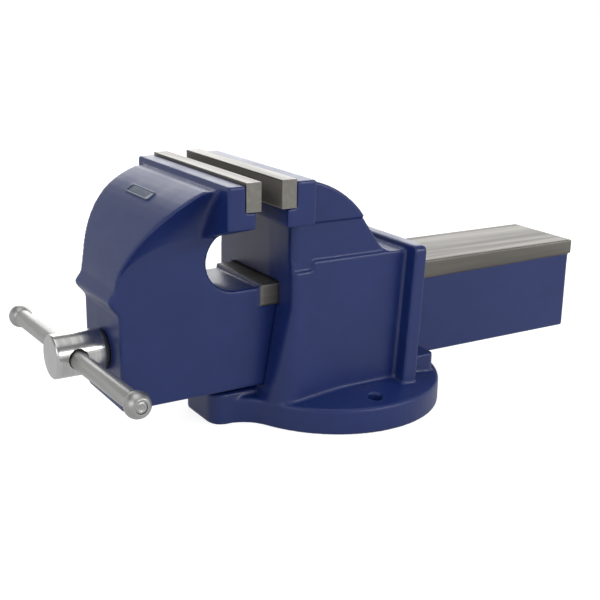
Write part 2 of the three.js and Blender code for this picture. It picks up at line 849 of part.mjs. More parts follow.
function mainNut() {
  const foot = slideBottom - slideFit + seat;
  const centre = screwHeight;
  const section = [
    [-nutHalfWidth, foot],
    [nutHalfWidth, foot],
    [nutHalfWidth, foot + nutFootHeight],
    ...arc(0, centre, nutBarrelRadius, 0, 180),
    [-nutHalfWidth, foot + nutFootHeight],
  ];
  const blank = alongY(section, nutFront, nutFront + nutLength);
  const bore = rod(screwRadius + seat, nutFront - overcut, nutFront + nutLength + overcut, centre);
  const threads = nutBoltRows.map((y) =>
    upright(rod(nutBoltRadius + seat, foot - overcut, foot + nutBoltGrip + nutBoltSpare), 0, y),
  );
  return cut(blank, bore, ...threads);
}

// A hexagon bolt that comes up through the floor into the nut's foot.
function nutBolt(y) {
  const headTop = nutBoltPocket.depth - seat - nutWasher.thickness - seat;
  const hexagon = arc(0, 0, nutBoltHeadRadius, 0, 360, 6).slice(0, -1);
  const head = alongZ(hexagon, headTop - nutBoltHeadHeight, headTop).translate([0, y, 0]);
  const shank = rod(nutBoltRadius, headTop - nutBoltHeadHeight / 2, slideBottom + nutBoltGrip);
  return join(head, upright(shank, 0, y));
}

function nutBoltWasher(y) {
  const top = nutBoltPocket.depth - seat;
  return upright(ring(nutBoltRadius + seat, nutWasher.radius, top - nutWasher.thickness, top), 0, y);
}

const barShoulder = knobSpacing / 2 - knobFlat - seat;

function handleBar() {
  const end = knobSpacing / 2 + knobFlat;
  return sideways(
    turned([
      [0, -end],
      [spigotRadius, -end],
      [spigotRadius, -barShoulder],
      [barRadius, -barShoulder],
      [barRadius, barShoulder],
      [spigotRadius, barShoulder],
      [spigotRadius, end],
      [0, end],
    ]),
  );
}

// A ball with flat ends, pierced for the bar's spigot and centred on its own middle.
function knob() {
  const bore = spigotRadius + seat;
  const flatAngle = THREE.MathUtils.radToDeg(Math.asin(knobFlat / knobRadius));
  const ball = arc(0, 0, knobRadius, -flatAngle, flatAngle);
  return turned([[bore, -knobFlat], ...ball, [bore, knobFlat], [bore, -knobFlat]]);
}

// ---- assembly --------------------------------------------------------------------------------

const vice = new THREE.Group();
const moving = new THREE.Group();
const handle = new THREE.Group();
moving.position.y = fixedGrip - jawOpening;
handle.position.set(0, barPlace, screwHeight - barSag);
handle.rotation.y = THREE.MathUtils.degToRad(-barTilt);
moving.add(handle);
vice.add(moving);

vice.add(
  meshOf("fixed_body", fixedBody(), paint),
  meshOf("fixed_jaw_plate", jawPlate(fixedGrip, 1), groundSteel),
  meshOf("main_nut", mainNut(), castIron),
);
["left", "right"].forEach((side, i) => {
  const x = plateScrewPlaces[i];
  vice.add(meshOf(`fixed_plate_screw_${side}`, plateScrew(x, fixedGrip, 1), darkSteel));
  moving.add(meshOf(`moving_plate_screw_${side}`, plateScrew(x, 0, -1), darkSteel));
});
["front", "rear"].forEach((end, i) => {
  vice.add(meshOf(`nut_bolt_${end}`, nutBolt(nutBoltRows[i]), darkSteel));
  vice.add(meshOf(`nut_bolt_washer_${end}`, nutBoltWasher(nutBoltRows[i]), springSteel));
});

moving.add(
  meshOf("moving_jaw", movingJaw(), paint),
  meshOf("moving_jaw_plate", jawPlate(0, -1), groundSteel),
  meshOf("main_screw", mainScrew(), turnedSteel),
  meshOf(
    "thrust_washer",
    ring(shankRadius + shankFit, thrustWasher.radius, washerFront, -frontFace - seat, screwHeight),
    darkSteel,
  ),
  meshOf(
    "spring_washer",
    ring(shankRadius + shankFit, springWasher.radius, innerWall + seat, springWasherBack, screwHeight),
    darkSteel,
  ),
  meshOf("draw_spring", drawSpring(), springSteel),
  meshOf("retaining_collar", retainingCollar(), darkSteel),
  meshOf("collar_pin", collarPin(), darkSteel),
);

handle.add(meshOf("handle_bar", handleBar(), turnedSteel));
for (const [name, side] of [["left", -1], ["right", 1]]) {
  const placed = sideways(knob()).translate([(side * knobSpacing) / 2, 0, 0]);
  handle.add(meshOf(`handle_knob_${name}`, placed, turnedSteel));
}

export default vice;
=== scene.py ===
"""The looks of a plain-screw bench vice: enamelled castings, ground jaw plates and turned steel.

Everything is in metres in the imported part's frame: +Z up, +Y along the slide from the handle to
the tail, and X along the jaws.
"""

import json
from math import asin, ceil, cos, radians, sin, tau

import bmesh
import bpy
import numpy as np
import openvdb
from mathutils import Matrix, Vector
from mathutils.bvhtree import BVHTree


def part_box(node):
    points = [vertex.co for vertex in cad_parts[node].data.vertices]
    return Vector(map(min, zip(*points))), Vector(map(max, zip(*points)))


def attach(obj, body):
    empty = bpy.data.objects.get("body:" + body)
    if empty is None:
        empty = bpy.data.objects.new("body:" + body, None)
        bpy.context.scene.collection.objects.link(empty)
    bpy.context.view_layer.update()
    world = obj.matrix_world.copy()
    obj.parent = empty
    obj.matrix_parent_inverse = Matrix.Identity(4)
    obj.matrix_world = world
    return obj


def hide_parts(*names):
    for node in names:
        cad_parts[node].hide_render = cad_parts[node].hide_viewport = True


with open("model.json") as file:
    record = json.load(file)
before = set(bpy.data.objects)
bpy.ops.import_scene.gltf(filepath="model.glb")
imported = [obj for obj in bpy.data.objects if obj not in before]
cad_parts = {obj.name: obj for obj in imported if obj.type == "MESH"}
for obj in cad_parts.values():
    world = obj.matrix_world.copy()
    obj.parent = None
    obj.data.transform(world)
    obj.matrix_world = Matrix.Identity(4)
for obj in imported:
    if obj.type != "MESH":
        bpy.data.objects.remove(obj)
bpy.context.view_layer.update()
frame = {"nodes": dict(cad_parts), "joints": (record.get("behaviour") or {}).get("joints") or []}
joints = {joint["name"]: joint for joint in frame["joints"]}

MM = 0.001

# Sizes that the solids' boxes don't give
SLIDE_TOP = 109 * MM
SLIDE_HALF_WIDTH = 33.4 * MM
RAIL_HALF_WIDTH = 36.3 * MM  # machined rails along the slide's top
RAIL_SETBACK = 21.8 * MM  # from the moving grip face to the rails' front
RAIL_TUNNEL_DEPTH = 17.5 * MM  # height of the body's wider tunnel, which the rails run in
CHANNEL_HALF_WIDTH = 22 * MM  # hollow under the slide
CHANNEL_ROOF = 91 * MM
TUNNEL_FIT = 0.35 * MM  # running gap round the slide
TUNNEL_SETBACK = 17 * MM  # from the lug's front to just before the tunnel's mouth
THROAT_WALL_SETBACK = 20.5 * MM  # from the fixed grip face to the neck's front
HOOD_RADIUS = 83.3 * MM
SHANK_RADIUS = 12.5 * MM
THREAD_PITCH = 6 * MM
THREAD_CREST = 11.95 * MM
THREAD_ROOT = 8.9 * MM
BAR_RADIUS = 6.5 * MM
BAR_HOLE_RADIUS = 7.4 * MM
SPIGOT_RADIUS = 4 * MM  # the bar's turned-down ends, which the knobs sit on
KNOB_RADIUS = 9 * MM
KNOB_FLAT = 7 * MM  # from a knob's middle to its end faces
KNOB_SPACING = 235 * MM
WASHER_BORE = 13.3 * MM
SPRING_WIRE = 1.7 * MM
PLATE_SCREW_STEM = 2.5 * MM
PLATE_SCREW_EDGE = 1.8 * MM  # from the grip face to the bottom of a head's straight edge
PLATE_SCREW_FIT = 0.3 * MM

# The teeth of the grip faces, and the plain rim round them
TOOTH_PITCH = 2.5 * MM
TOOTH_DEPTH = 0.7 * MM
RIM = 0.9 * MM
PLATE_CHAMFER = 0.35 * MM

# How many cells of a casting's grid, on either side of its surface, hold distances, and how
# many empty ones stand round them
GRID_BAND = 6
GRID_MARGIN = 2

# How far a finish reaches past the face that it covers
SKIM = 0.15 * MM

# Places that the solids give
body_low, body_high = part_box("fixed_body")
jaw_low, jaw_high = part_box("moving_jaw")
fixed_plate_low, fixed_plate_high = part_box("fixed_jaw_plate")
moving_plate_low, moving_plate_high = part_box("moving_jaw_plate")
plate_screw_low, plate_screw_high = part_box("fixed_plate_screw_right")
screw_low, screw_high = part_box("main_screw")
fixed_grip = fixed_plate_low.y
moving_grip = moving_plate_high.y
slide_bottom = jaw_low.z
slide_tail = jaw_high.y
rail_front = moving_grip + RAIL_SETBACK
throat_wall = fixed_grip + THROAT_WALL_SETBACK
hood_centre = Vector((0, moving_grip - 7.4 * MM, SLIDE_TOP - 1.3 * MM))
on_axis = Vector((0, 0, (screw_low.z + screw_high.z) / 2))
screw_head_radius = (screw_high.z - screw_low.z) / 2
screw_head_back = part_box("thrust_washer")[0].y - 0.3 * MM
thread_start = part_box("retaining_collar")[1].y + 6 * MM
plate_screw_place = (plate_screw_low + plate_screw_high) / 2
plate_screw_head = plate_screw_high.x - plate_screw_place.x
bar_place = Vector(joints["handle_slide"]["pos_m"])
bar_line = Vector(joints["handle_slide"]["axis"]).normalized()
along_bar = bar_line.to_track_quat("Y", "Z").to_matrix().to_4x4()


# ---- meshes ----------------------------------------------------------------------------------


def piece(name, mesh, material, body, replaced=()):
    """A named object that rides on a body, has a finish and stands for CAD nodes."""
    made = in_scene(name, mesh)
    mesh.materials.clear()
    mesh.materials.append(material)
    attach(made, body)
    if replaced:
        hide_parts(*replaced)


def in_scene(name, data):
    """A new object in the scene."""
    made = bpy.data.objects.new(name, data)
    bpy.context.scene.collection.objects.link(made)
    return made


def mesh_of(name, points, faces, crisp):
    """A smooth closed mesh whose edges stay crisp where they turn by more than an angle."""
    mesh = bpy.data.meshes.new(name)
    mesh.from_pydata([tuple(p) for p in points], [], [tuple(f) for f in faces])
    mesh.validate()
    mesh.update()
    shade(mesh, crisp)
    outward(mesh)
    return mesh


def shade(mesh, crisp):
    """Smooth shading, with a crisp edge wherever faces meet at more than an angle in degrees."""
    mesh.polygons.foreach_set("use_smooth", np.ones(len(mesh.polygons), bool))
    mesh.set_sharp_from_angle(angle=radians(crisp))


def outward(mesh):
    """Turns a closed mesh's faces to the outside."""
    work = bmesh.new()
    work.from_mesh(mesh)
    bmesh.ops.recalc_face_normals(work, faces=work.faces)
    if work.calc_volume(signed=True) < 0:
        bmesh.ops.reverse_faces(work, faces=work.faces)
    work.to_mesh(mesh)
    work.free()


def eased(profile, ease, steps=3):
    """A profile whose inner corners are replaced by small arcs."""
    points = [Vector(profile[0])]
    for before, here, after in zip(profile, profile[1:], profile[2:], strict=False):
        before, here, after = Vector(before), Vector(here), Vector(after)
        back, ahead = before - here, after - here
        reach = min(ease, back.length * 0.45, ahead.length * 0.45)
        start, end = here + back.normalized() * reach, here + ahead.normalized() * reach
        for step in range(steps + 1):
            t = step / steps
            points.append(start * (1 - t) ** 2 + here * 2 * t * (1 - t) + end * t**2)
    points.append(Vector(profile[-1]))
    return points


def held(outline, reach=0.4 * MM):
    """An outline with a point close to both ends of each long side, which keeps that side flat."""
    points = [outline[0]]
    for start, end in zip(outline, outline[1:], strict=False):
        length = (end - start).length
        if length > 4 * reach:
            points += [start.lerp(end, reach / length), end.lerp(start, reach / length)]
        points.append(end)
    return points


def tube(name, rows, crisp, closed=False):
    """A skin over rows of points, each a loop. The last row meets the first, or both are capped."""
    count = len(rows[0])
    faces = []
    for i in range(len(rows) if closed else len(rows) - 1):
        j = (i + 1) % len(rows)
        for k in range(count):
            n = (k + 1) % count
            faces.append((i * count + k, i * count + n, j * count + n, j * count + k))
    if not closed:
        faces += [reversed(range(count)), range((len(rows) - 1) * count, len(rows) * count)]
    return mesh_of(name, [point for row in rows for point in row], faces, crisp)


def turned(name, profile, segments=96, ease=0.4 * MM, crisp=50):
    """A solid turned about the Y axis: a profile's points are (radius, distance along it)."""
    points, faces, rings = [], [], []
    for radius, y in held(eased(profile, ease)):
        if radius < 1e-7:
            rings.append([len(points)])
            points.append((0, y, 0))
            continue
        rings.append(range(len(points), len(points) + segments))
        angles = [tau * i / segments for i in range(segments)]
        points += [(radius * cos(a), y, radius * sin(a)) for a in angles]
    for low, high in zip(rings, rings[1:], strict=False):
        for i in range(segments):
            j = (i + 1) % segments
            corners = [low[i % len(low)], low[j % len(low)]]
            corners += [high[j % len(high)], high[i % len(high)]]
            faces.append(list(dict.fromkeys(corners)))
    return mesh_of(name, points, faces, crisp)


def turned_ring(name, outline, crisp, segments=96):
    """A ring turned about the Y axis from a closed outline that stands clear of it."""
    rows = []
    for i in range(segments):
        angle = tau * i / segments
        rows.append([(r * cos(angle), y, r * sin(angle)) for r, y in outline])
    return tube(name, rows, crisp, closed=True)


def cut_by(mesh, *tools):
    """A mesh with other closed meshes taken out of it."""
    body = in_scene("blank", mesh)
    cutters = []
    for tool in tools:
        cutter = in_scene("cutter", tool)
        modifier = body.modifiers.new("cut", "BOOLEAN")
        modifier.operation = "DIFFERENCE"
        modifier.solver = "EXACT"
        modifier.object = cutter
        cutters.append(cutter)
    graph = bpy.context.evaluated_depsgraph_get()
    made = bpy.data.meshes.new_from_object(body.evaluated_get(graph), depsgraph=graph)
    for used in [body, *cutters]:
        bpy.data.objects.remove(used)
    return made


# ---- castings --------------------------------------------------------------------------------


def distance_grid(cad_node, facet):
    """A CAD node as distances from its surface at the points of a grid, less than 0 inside."""
    work = bmesh.new()
    work.from_mesh(frame["nodes"][cad_node].data)
    bmesh.ops.remove_doubles(work, verts=work.verts, dist=0.02 * MM)
    bmesh.ops.triangulate(work, faces=work.faces)
    work.verts.index_update()
    points = np.array([vertex.co for vertex in work.verts], np.float32)
    faces = np.array([[point.index for point in face.verts] for face in work.faces], np.uint32)
    work.free()
    cells = openvdb.createLinearTransform(voxelSize=facet)
    return openvdb.FloatGrid.createLevelSetFromPolygons(
        points, triangles=faces, transform=cells, halfWidth=GRID_BAND
    )


def averaged(field, spread):
    """A field whose values are averaged with those around them, out to about two spreads."""
    reach = ceil(2.5 * spread)
    weights = np.exp(-0.5 * (np.arange(-reach, reach + 1) / spread) ** 2)
    weights /= weights.sum()
    for axis in range(3):
        rows = np.moveaxis(field, axis, 0)
        padded = np.concatenate([rows[:1]] * reach + [rows] + [rows[-1:]] * reach)
        rows = sum(w * padded[i : i + len(rows)] for i, w in enumerate(weights))
        field = np.moveaxis(rows, 0, axis)
    return np.ascontiguousarray(field, np.float32)


def read_between(field, places):
    """A field's values at places between its points."""
    corner = np.clip(np.floor(places).astype(int), 0, np.array(field.shape) - 2)
    share = places - corner
    total = np.zeros(len(places))
    for step in np.ndindex(2, 2, 2):
        weight = np.prod(np.where(step, share, 1 - share), axis=1)
        total += weight * field[tuple((corner + step).T)]
    return total


def casting(cad_node, facet=1.2 * MM, crisp_zones=(), rounding=0.8 * MM):
    """A CAD node as it leaves the mould, with its edges rounded and its wear marked.

    Edges stay crisp in the crisp zones, where a cutter has been over them.
    """
    grid = distance_grid(cad_node, facet)
    first, last = (np.array(corner) for corner in grid.evalActiveVoxelBoundingBox())
    first, size = first - GRID_MARGIN, last - first + 2 * GRID_MARGIN + 1
    origin = tuple(int(i) for i in first)
    sharp = np.empty(size, np.float32)
    grid.copyToArray(sharp, ijk=origin)
    crisp = np.zeros_like(sharp)
    for zone in crisp_zones:
        corners = [np.clip(np.array(corner) / facet - first, 0, size).astype(int) for corner in zone]
        crisp[tuple(slice(low, high) for low, high in zip(*corners, strict=True))] = 1
    soft = averaged(sharp, rounding / facet)
    soft += averaged(crisp, 1) * (averaged(sharp, 0.5) - soft)
    grid.copyFromArray(soft, ijk=origin)
    points, _, faces = grid.convertToPolygons(isovalue=0)
    mesh = bpy.data.meshes.new(cad_node + "_casting")
    mesh.from_pydata(np.clip(points, *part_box(cad_node)), [], faces[:, ::-1])
    mesh.polygons.foreach_set("use_smooth", np.ones(len(mesh.polygons), bool))
    sunk = -read_between(sharp, points / facet - first)
    for name, values in (("rubbed", sunk / (0.35 * MM)), ("hollow", -sunk / (0.3 * MM))):
        store = mesh.attributes.new(name, "FLOAT", "POINT")
        store.data.foreach_set("value", np.clip(values, 0, 1).astype(np.float32))
    return mesh


# ---- node trees ------------------------------------------------------------------------------


def node(tree, kind, inputs=(), **settings):
    """Adds a node, sets it and feeds its inputs with values or with other nodes' sockets."""
    made = tree.nodes.new("ShaderNode" + kind)
    for name, value in settings.items():
        setattr(made, name, value)
    feed(tree, made, inputs)
    return made


def feed(tree, made, inputs):
    """Gives a node's inputs their values, or links them to other nodes' sockets."""
    for name, value in dict(inputs).items():
        if isinstance(value, bpy.types.NodeSocket):
            tree.links.new(value, made.inputs[name])
        else:
            made.inputs[name].default_value = value


def maths(tree, operation, a, b=0.0, c=0.0):
    """One sum. MULTIPLY_ADD is a times b, plus c."""
    return node(tree, "Math", {0: a, 1: b, 2: c}, operation=operation).outputs[0]


def vector_maths(tree, operation, a, b=(0, 0, 0)):
    """One sum on vectors."""
    return node(tree, "VectorMath", {0: a, 1: b}, operation=operation).outputs[0]


def spans(tree, value, low, high, to_low=0.0, to_high=1.0):
    """A value stretched from one span to another, smoothly at its ends."""
    names = ("Value", "From Min", "From Max", "To Min", "To Max")
    inputs = dict(zip(names, (value, low, high, to_low, to_high), strict=True))
    return node(tree, "MapRange", inputs, interpolation_type="SMOOTHSTEP").outputs["Result"]


def between(tree, share, first, second):
    """A value between two others."""
    return node(tree, "Mix", {0: share, 2: first, 3: second}).outputs[0]


def blended(tree, share, first, second):
    """A colour between two others."""
    made = node(tree, "Mix", data_type="RGBA")
    feed(tree, made, {0: share, 6: first, 7: second})
    return made.outputs[2]


def noise(tree, place, scale, detail=2.0, roughness=0.5, distortion=0.0):
    """A value from 0 to 1 that drifts from place to place."""
    names = ("Vector", "Scale", "Detail", "Roughness", "Distortion")
    values = (place, scale, detail, roughness, distortion)
    return node(tree, "TexNoise", dict(zip(names, values, strict=True))).outputs["Fac"]


def effect(name, inputs, outputs):
    """A shared group: its tree, its given inputs and its outputs to fill."""
    tree = bpy.data.node_groups.new(name, "ShaderNodeTree")
    for label, (kind, value) in inputs.items():
        socket = tree.interface.new_socket(label, in_out="INPUT", socket_type="NodeSocket" + kind)
        if value is not None:
            socket.default_value = value
    for label in outputs:
        tree.interface.new_socket(label, in_out="OUTPUT", socket_type="NodeSocketFloat")
    return tree, tree.nodes.new("NodeGroupInput").outputs, tree.nodes.new("NodeGroupOutput").inputs


def placed(tree, group, inputs):
    """A shared group set into a material with its own values."""
    made = node(tree, "Group", node_tree=group)
    feed(tree, made, inputs)
    return made.outputs


def new_material(name):
    """A new material, its tree, its surface shader and the object's own coordinates."""
    made = bpy.data.materials.new(name)
    made.use_nodes = True
    tree = made.node_tree
    tree.nodes.clear()
    surface = node(tree, "BsdfPrincipled")
    output = node(tree, "OutputMaterial")
    tree.links.new(surface.outputs[0], output.inputs["Surface"])
    return made, tree, surface, node(tree, "TexCoord").outputs["Object"]


def raised(tree, surface, height, distance):
    """Feeds a height to the surface's normal."""
    bump = node(tree, "Bump", {"Height": height, "Distance": distance, "Strength": 1.0})
    tree.links.new(bump.outputs["Normal"], surface.inputs["Normal"])


# ---- effects that several finishes share -----------------------------------------------------


def cast_skin_effect():
    """Sand-cast skin under paint: slow waves, a fine grain and a tone that drifts."""
    inputs = {
        "Place": ("Vector", None),
        "Wave Size": ("Float", 45.0),
        "Grain Size": ("Float", 900.0),
        "Grain Share": ("Float", 0.2),
    }
    tree, given, out = effect("cast_skin", inputs, ["Height", "Tone"])
    waves = noise(tree, given["Place"], given["Wave Size"], 2.0, 0.45)
    grain = noise(tree, given["Place"], given["Grain Size"], 3.0, 0.6)
    height = maths(tree, "MULTIPLY_ADD", grain, given["Grain Share"], waves)
    tree.links.new(height, out["Height"])
    tree.links.new(noise(tree, given["Place"], 24.0, 3.0, 0.6, 0.4), out["Tone"])
    return tree


def tool_marks_effect():
    """Fine lines left by a grinding wheel, cutter or lathe: noise drawn out along the cut."""
    inputs = {
        "Place": ("Vector", None),
        "Line Density": ("Vector", (40.0, 2500.0, 2500.0)),
        "Streak Density": ("Vector", (6.0, 220.0, 220.0)),
    }
    tree, given, out = effect("tool_marks", inputs, ["Height", "Streak"])
    fine = vector_maths(tree, "MULTIPLY", given["Place"], given["Line Density"])
    broad = vector_maths(tree, "MULTIPLY", given["Place"], given["Streak Density"])
    tree.links.new(noise(tree, fine, 1.0, 2.0, 0.6), out["Height"])
    tree.links.new(noise(tree, broad, 1.0, 3.0, 0.55), out["Streak"])
    return tree


def rubbed_edges_effect():
    """Where hands and benches rub a casting's edges, broken up by noise, and where dirt settles."""
    inputs = {"Place": ("Vector", None), "Reach": ("Float", 0.5)}
    tree, given, out = effect("rubbed_edges", inputs, ["Rubbed", "Hollow"])
    edge = node(tree, "Attribute", attribute_name="rubbed").outputs["Fac"]
    patches = noise(tree, given["Place"], 60.0, 4.0, 0.65)
    worn = maths(tree, "ADD", edge, maths(tree, "SUBTRACT", patches, 0.5))
    limit = maths(tree, "SUBTRACT", 1.3, given["Reach"])
    rubbed = spans(tree, worn, limit, maths(tree, "ADD", limit, 0.35))
    tree.links.new(rubbed, out["Rubbed"])
    low = node(tree, "Attribute", attribute_name="hollow").outputs["Fac"]
    tree.links.new(spans(tree, low, 0.1, 0.9), out["Hollow"])
    return tree


def box_zone_effect():
    """1 inside a box and 0 outside it, with a border over which it fades."""
    inputs = {
        "Place": ("Vector", None),
        "Middle": ("Vector", (0.0, 0.0, 0.0)),
        "Half Size": ("Vector", (1.0, 1.0, 1.0)),
        "Border": ("Float", 0.1 * MM),
    }
    tree, given, out = effect("box_zone", inputs, ["Inside"])
    offset = vector_maths(tree, "SUBTRACT", given["Place"], given["Middle"])
    far = vector_maths(tree, "SUBTRACT", vector_maths(tree, "ABSOLUTE", offset), given["Half Size"])
    parts = node(tree, "SeparateXYZ", {0: far}).outputs
    worst = maths(tree, "MAXIMUM", maths(tree, "MAXIMUM", parts[0], parts[1]), parts[2])
    inner = maths(tree, "MULTIPLY", given["Border"], -1.0)
    tree.links.new(spans(tree, worst, given["Border"], inner), out["Inside"])
    return tree


cast_skin = cast_skin_effect()
tool_marks = tool_marks_effect()
rubbed_edges = rubbed_edges_effect()
box_zone = box_zone_effect()


def any_zone(tree, place, zones, border=0.1 * MM):
    """1 in any of the boxes given by their low and high corners."""
    total = None
    for low, high in zones:
        low, high = Vector(low), Vector(high)
        inputs = {"Place": place, "Middle": (low + high) / 2, "Half Size": (high - low) / 2}
        inputs["Border"] = border
        inside = placed(tree, box_zone, inputs)["Inside"]
        total = inside if total is None else maths(tree, "MAXIMUM", total, inside)
    return total


# ---- finishes --------------------------------------------------------------------------------


def colour(r, g, b):
    """An opaque colour."""
    return (r, g, b, 1.0)


BLUE = colour(0.006, 0.0195, 0.117)
BLUE_THIN = colour(0.016, 0.038, 0.17)
BLUE_GREY = colour(0.02, 0.045, 0.10)
MILLED = colour(0.225, 0.215, 0.195)
MILLED_DARK = colour(0.155, 0.148, 0.133)
RAW_IRON = colour(0.085, 0.082, 0.08)
DUST = colour(0.10, 0.10, 0.11)
# Paler grey-brown: partly primer under thin paint, partly a painted reflection of the white floor
PRIMER_AND_PAINTED_REFLECTION = colour(0.26, 0.235, 0.24)
# Dark oil colour, which also stands in as painted shade on the grip faces between the jaws
OIL_AND_PAINTED_SHADE = colour(0.10, 0.092, 0.08)


def enamel(name, tint=BLUE, milled=(), unpainted=(), primer_and_reflection_zones=()):
    """Enamel on cast iron: paler on rubbed edges, dusty in hollows, and in the given zones a paler
    grey-brown, partly primer under thin paint and partly a painted reflection of the floor.
    """
    made, tree, surface, place = new_material(name)
    skin = placed(tree, cast_skin, {"Place": place})
    edges = placed(tree, rubbed_edges, {"Place": place, "Reach": 0.22})
    tone = spans(tree, skin["Tone"], 0.3, 0.7)
    shown = blended(tree, tone, tint, Vector(tint).lerp(Vector(BLUE_THIN), 0.25))
    shown = blended(tree, maths(tree, "MULTIPLY", edges["Rubbed"], 0.6), shown, BLUE_THIN)
    shown = blended(tree, maths(tree, "MULTIPLY", edges["Hollow"], 0.12), shown, DUST)
    # A paler patch: partly primer where the paint is thin, partly a painted reflection of the floor
    if primer_and_reflection_zones:
        primer_and_reflection = any_zone(tree, place, primer_and_reflection_zones, 9 * MM)
        primer_and_reflection = maths(tree, "MULTIPLY", primer_and_reflection, spans(tree, skin["Tone"], 0.2, 0.8, 0.6, 0.9))
        shown = blended(tree, primer_and_reflection, shown, PRIMER_AND_PAINTED_REFLECTION)
    gloss = spans(tree, skin["Tone"], 0.25, 0.75, 0.32, 0.40)
    height = skin["Height"]
    if milled:
        marks = placed(
            tree,
            tool_marks,
            {"Place": place, "Line Density": (2200, 30, 2200), "Streak Density": (90, 4, 60)},
        )
        bare = any_zone(tree, place, milled)
        raw = any_zone(tree, place, unpainted)
        iron = blended(tree, spans(tree, marks["Streak"], 0.32, 0.68), MILLED_DARK, MILLED)
        shown = blended(tree, bare, blended(tree, raw, shown, RAW_IRON), iron)
        metal = maths(tree, "MAXIMUM", bare, maths(tree, "MULTIPLY", raw, 0.6))
        tree.links.new(metal, surface.inputs["Metallic"])
        milled_gloss = spans(tree, marks["Streak"], 0.3, 0.7, 0.56, 0.47)
        gloss = between(tree, bare, between(tree, raw, gloss, 0.62), milled_gloss)
        height = between(tree, bare, height, maths(tree, "MULTIPLY", marks["Height"], 0.12))
    tree.links.new(shown, surface.inputs["Base Color"])
    tree.links.new(gloss, surface.inputs["Roughness"])
    raised(tree, surface, height, 0.28 * MM)
    surface.inputs["IOR"].default_value = 1.5
    return made


def steel(name, light, dark, line, streak, rough, depth, cast=0.0, oil_and_shade_zones=()):
    """Bare steel with the marks of its last cut drawn out along the cut's direction.

    line and streak are how close the marks stand along each axis, depth is how deep they are,
    and cast is how much of a casting's skin is left.
    """
    made, tree, surface, place = new_material(name)
    marks = placed(
        tree, tool_marks, {"Place": place, "Line Density": line, "Streak Density": streak}
    )
    skin = placed(tree, cast_skin, {"Place": place, "Wave Size": 60.0})
    drift = maths(tree, "MULTIPLY", skin["Tone"], 0.3)
    share = maths(tree, "MULTIPLY_ADD", spans(tree, marks["Streak"], 0.3, 0.7), 0.7, drift)
    shown = blended(tree, share, dark, light)
    gloss = spans(tree, marks["Streak"], 0.3, 0.7, rough + 0.05, rough - 0.04)
    # Darker in the given zones: partly oil, partly painted shade between the jaws
    if oil_and_shade_zones:
        oil_and_shade = maths(tree, "MULTIPLY", any_zone(tree, place, oil_and_shade_zones), 0.6)
        shown = blended(tree, oil_and_shade, shown, OIL_AND_PAINTED_SHADE)
        gloss = maths(tree, "MULTIPLY_ADD", oil_and_shade, 0.2, gloss)
    tree.links.new(shown, surface.inputs["Base Color"])
    surface.inputs["Metallic"].default_value = 1.0
    tree.links.new(gloss, surface.inputs["Roughness"])
    height = maths(tree, "MULTIPLY_ADD", skin["Height"], cast, marks["Height"])
    raised(tree, surface, height, depth)
    return made


def zone(x, y, z):
    """A box between two values of each coordinate, as its low and high corners."""
    return tuple(zip(x, y, z, strict=True))


def slide_zones():
    """The milled faces of the slide: its rails' top, sides and front, and its two feet."""
    rail, edge = RAIL_HALF_WIDTH + SKIM, SLIDE_HALF_WIDTH + 0.8 * MM
    foot = SLIDE_HALF_WIDTH + SKIM
    run = (rail_front - SKIM, slide_tail + SKIM)
    high = SLIDE_TOP + SKIM
    return [
        zone((-rail, rail), run, (SLIDE_TOP - SKIM, high)),
        zone((edge, rail), run, (CHANNEL_ROOF, high)),
        zone((-rail, -edge), run, (CHANNEL_ROOF, high)),
        zone(
            (-RAIL_HALF_WIDTH, RAIL_HALF_WIDTH),
            (rail_front - SKIM, rail_front + SKIM),
            (CHANNEL_ROOF + 3 * MM, high),
        ),
        zone((-foot, foot), (rail_front, run[1]), (slide_bottom - SKIM, slide_bottom + SKIM)),
    ]


def channel_zone():
    """The hollow under the slide, which no brush reached."""
    half = CHANNEL_HALF_WIDTH + SKIM
    run = (moving_grip - 60 * MM, slide_tail - 2 * MM)
    return zone((-half, half), run, (slide_bottom + SKIM, CHANNEL_ROOF + SKIM))


def tunnel_zones():
    """The body's tunnel, low down for the slide's sides and higher up for its rails."""
    slide, rail = (half + TUNNEL_FIT + SKIM for half in (SLIDE_HALF_WIDTH, RAIL_HALF_WIDTH))
    run = (body_low.y + TUNNEL_SETBACK, body_high.y)
    step = SLIDE_TOP - RAIL_TUNNEL_DEPTH
    return [
        zone((-slide, slide), run, (slide_bottom - TUNNEL_FIT - SKIM, step)),
        zone((-rail, rail), run, (step, SLIDE_TOP + TUNNEL_FIT + SKIM)),
    ]


def tooth_zones():
    """The teeth of both grip faces, where oil and filings stay and where shade between the jaws is
    painted in.
    """
    reach = 0.35 * MM + TOOTH_DEPTH
    low, high = moving_plate_low, moving_plate_high
    return [
        zone(
            (low.x + RIM, high.x - RIM),
            (y - TOOTH_DEPTH, y + TOOTH_DEPTH),
            (low.z + RIM, high.z - RIM),
        )
        for y in (moving_grip - reach, fixed_grip + reach)
    ]


underside = zone((-100 * MM, 100 * MM), (-130 * MM, 100 * MM), (-1 * MM, SKIM))
